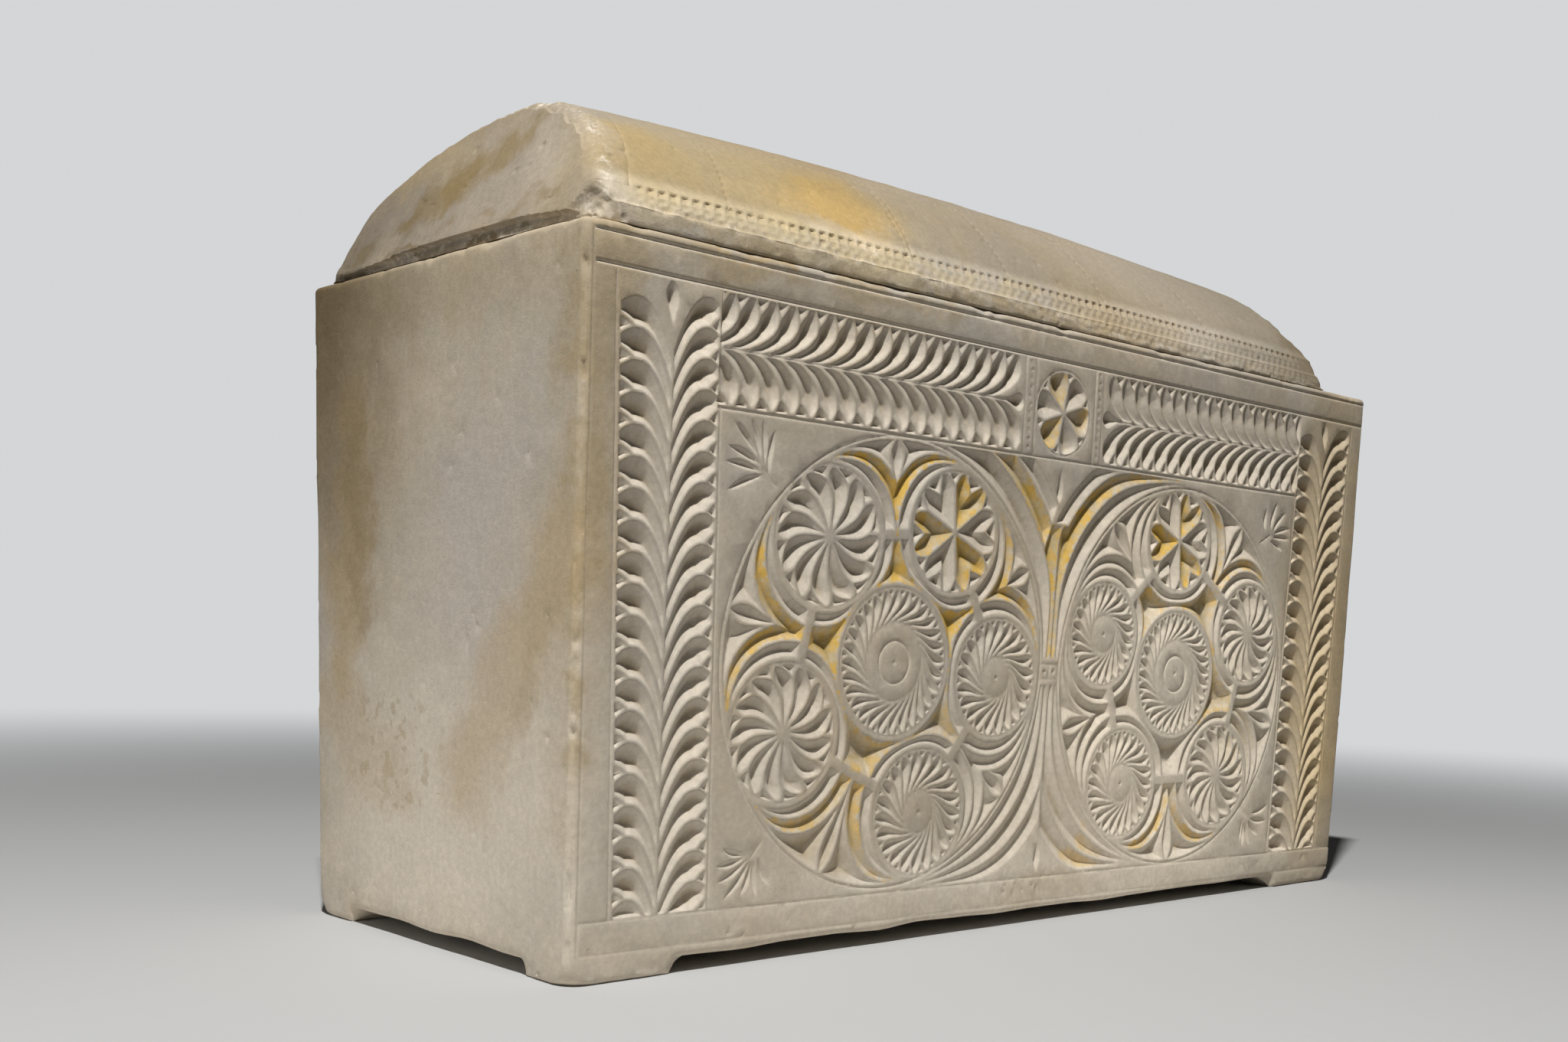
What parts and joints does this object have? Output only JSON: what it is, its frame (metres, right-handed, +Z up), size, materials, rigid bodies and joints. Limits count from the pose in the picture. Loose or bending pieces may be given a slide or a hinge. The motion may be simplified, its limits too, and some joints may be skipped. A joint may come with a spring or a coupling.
{
  "type": "stone ossuary",
  "caption": "Tapered stone bone chest on low feet, hollowed from one block, with chip-carved rosettes and palms on its front and a loose vaulted stone lid.",
  "frame": {"origin": "on the floor under the middle of the chest", "axes": "+X along the chest's length, -Y out of the carved face, +Z up"},
  "size_m": [0.7398, 0.2898, 0.4753],
  "materials": {
    "chest_stone": "soft pale limestone, smoothed and chip carved, brown staining, traces of yellow paint",
    "lid_stone": "soft pale limestone, smoothed, pecked lines, yellow wash fading to bare stone"
  },
  "bodies": {
    "chest": {"chest": "chest_stone"},
    "lid": {"lid": "lid_stone"}
  },
  "joints": [
    {"name": "lid_lift", "type": "slide", "parent": "chest", "child": "lid", "axis": [0, 0, 1], "range_m": [0, 0.25]}
  ]
}
